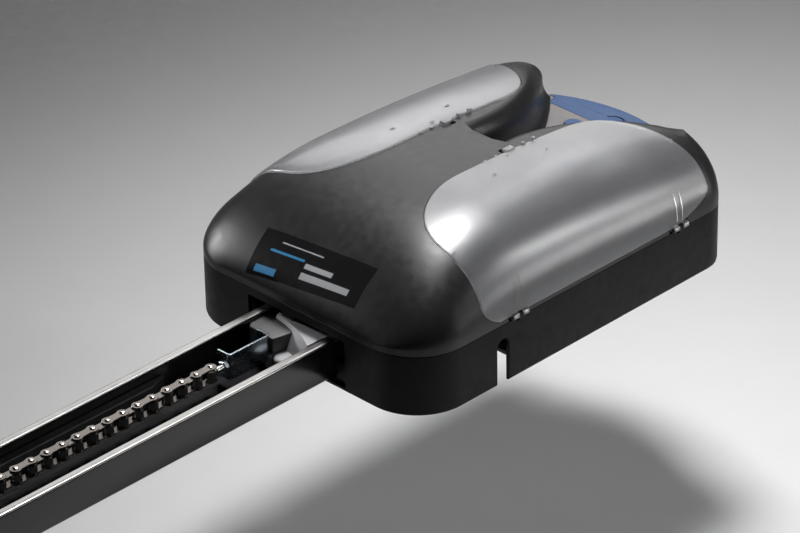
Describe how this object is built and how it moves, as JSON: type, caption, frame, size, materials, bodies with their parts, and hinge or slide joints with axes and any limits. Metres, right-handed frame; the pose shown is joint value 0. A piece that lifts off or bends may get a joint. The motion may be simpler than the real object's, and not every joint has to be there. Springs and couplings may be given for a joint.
{
  "type": "garage door opener",
  "caption": "Ceiling-mounted garage door opener: control head with hinged lamp lenses, C rail with fixed roller chain, and a motor carriage with door arm.",
  "frame": {"origin": "centre of the four ceiling screws of the head, on the plane of its open ceiling side", "axes": "+X along the rail from the door end to the head, +Y across, +Z away from the ceiling (lamp side up, so the installed opener is this frame turned over)"},
  "size_m": [3.5881, 0.2308, 0.141],
  "materials": {
    "shell_black": "fine grained satin",
    "deck_grey": "matt",
    "accent_blue": "matt",
    "lens_frost": "frosted inside, satin outside",
    "tray_white": "gloss white",
    "steel": "plain",
    "zinc": "zinc plated, slightly blue",
    "rail_black": "satin black, lips worn bright",
    "joiner_dark": "satin",
    "strip_grey": "matt",
    "insert_grey": "satin",
    "chain_steel": "oiled",
    "board_green": "solder mask",
    "part_dark": "moulded",
    "relay_blue": "moulded",
    "terminal_green": "moulded",
    "copper": "drawn",
    "contact_brass": "bright",
    "lamination": "varnished",
    "gearbox_cast": "die cast",
    "motor_dark": "satin",
    "wheel_nylon": "natural",
    "lever_green": "satin"
  },
  "bodies": {
    "head": {"base_housing": "shell_black", "base_plate": "part_dark", "face_cover": "shell_black", "rear_panel": "deck_grey", "flap_pin": "steel", "lens_pins": "steel", "lamp_tray_right": "tray_white", "lamp_tray_left": "tray_white", "led_boards": "tray_white", "cover_screws": "steel", "control_board": "board_green", "relays": "relay_blue", "capacitors": "part_dark", "button_switch": "part_dark", "radio_module": "board_green", "transformer_core": "lamination", "transformer_coil": "copper", "terminal_block": "terminal_green", "power_inlet": "part_dark", "inlet_blades": "contact_brass", "rail_section_1": "rail_black", "rail_section_2": "rail_black", "rail_section_3": "rail_black", "rail_joiner_1": "joiner_dark", "rail_joiner_2": "joiner_dark", "guide_strip": "strip_grey", "head_insert": "insert_grey", "chain_bracket": "zinc", "chain_link_pin": "steel", "chain": "chain_steel", "door_insert": "part_dark", "tension_bolt": "steel", "tension_spring": "steel", "tension_nut": "steel", "rail_end_yoke": "zinc", "yoke_bolts": "steel", "rail_saddle_1": "zinc", "rail_saddle_2": "zinc"},
    "carriage": {"carriage_chassis": "part_dark", "gearbox_lower": "gearbox_cast", "gearbox_upper": "gearbox_cast", "motor_can": "motor_dark", "contact_brushes": "copper", "carriage_cover": "shell_black", "lever_pin": "steel", "arm_pin": "steel"},
    "drive": {"gear_wheel": "wheel_nylon", "drive_shaft": "steel", "sprocket": "steel"},
    "worm": {"worm_shaft": "steel"},
    "lever": {"release_lever": "lever_green"},
    "arm": {"door_arm": "zinc", "door_pin": "steel"},
    "door_clevis": {"door_bracket": "zinc"},
    "lens_right": {"lamp_lens_right": "lens_frost"},
    "lens_left": {"lamp_lens_left": "lens_frost"},
    "flap": {"service_flap": "accent_blue"},
    "button": {"push_button": "accent_blue"},
    "lintel": {"lintel_bracket": "zinc"}
  },
  "joints": [
    {"name": "carriage_travel", "type": "slide", "parent": "head", "child": "carriage", "axis": [1, 0, 0], "range_m": [-1.25, 1.25]},
    {"name": "sprocket_turn", "type": "hinge", "parent": "carriage", "child": "drive", "pos_m": [-1.785, -0.00513, 0.0235], "axis": [0, 0, 1], "range_deg": [-5926, 5926]},
    {"name": "worm_turn", "type": "hinge", "parent": "carriage", "child": "worm", "pos_m": [-1.785, 0.02717, 0.066], "axis": [1, 0, 0], "range_deg": [-106659, 106659]},
    {"name": "release_pull", "type": "hinge", "parent": "carriage", "child": "lever", "pos_m": [-1.926, 0, 0.066], "axis": [0, 1, 0], "range_deg": [0, 25], "stiffness_Nm_per_rad": 0.4, "springref_deg": -14.32},
    {"name": "arm_swing", "type": "hinge", "parent": "carriage", "child": "arm", "pos_m": [-1.903, 0, 0.107], "axis": [0, -1, 0], "range_deg": [0, 150]},
    {"name": "door_bracket_swing", "type": "hinge", "parent": "arm", "child": "door_clevis", "pos_m": [-1.543, 0, 0.107], "axis": [0, -1, 0], "range_deg": [0, 110]},
    {"name": "lens_right_open", "type": "hinge", "parent": "head", "child": "lens_right", "pos_m": [0, -0.1132, 0.0472], "axis": [1, 0, 0], "range_deg": [0, 85]},
    {"name": "lens_left_open", "type": "hinge", "parent": "head", "child": "lens_left", "pos_m": [0, 0.1132, 0.0472], "axis": [-1, 0, 0], "range_deg": [0, 85]},
    {"name": "flap_open", "type": "hinge", "parent": "head", "child": "flap", "pos_m": [0.157, 0, 0.0611], "axis": [0, -1, 0], "range_deg": [0, 95]},
    {"name": "button_press", "type": "slide", "parent": "head", "child": "button", "axis": [0, 0, -1], "range_m": [0, 0.0025], "stiffness_N_per_m": 200, "springref_m": -0.002},
    {"name": "lintel_tilt", "type": "hinge", "parent": "head", "child": "lintel", "pos_m": [-3.3616, 0, 0.02], "axis": [0, 1, 0], "range_deg": [-20, 20]}
  ],
  "couplings": [
    {"joint": "sprocket_turn", "follows": "carriage_travel", "rad_per_m": 82.457},
    {"joint": "worm_turn", "follows": "carriage_travel", "rad_per_m": -1484.2}
  ]
}
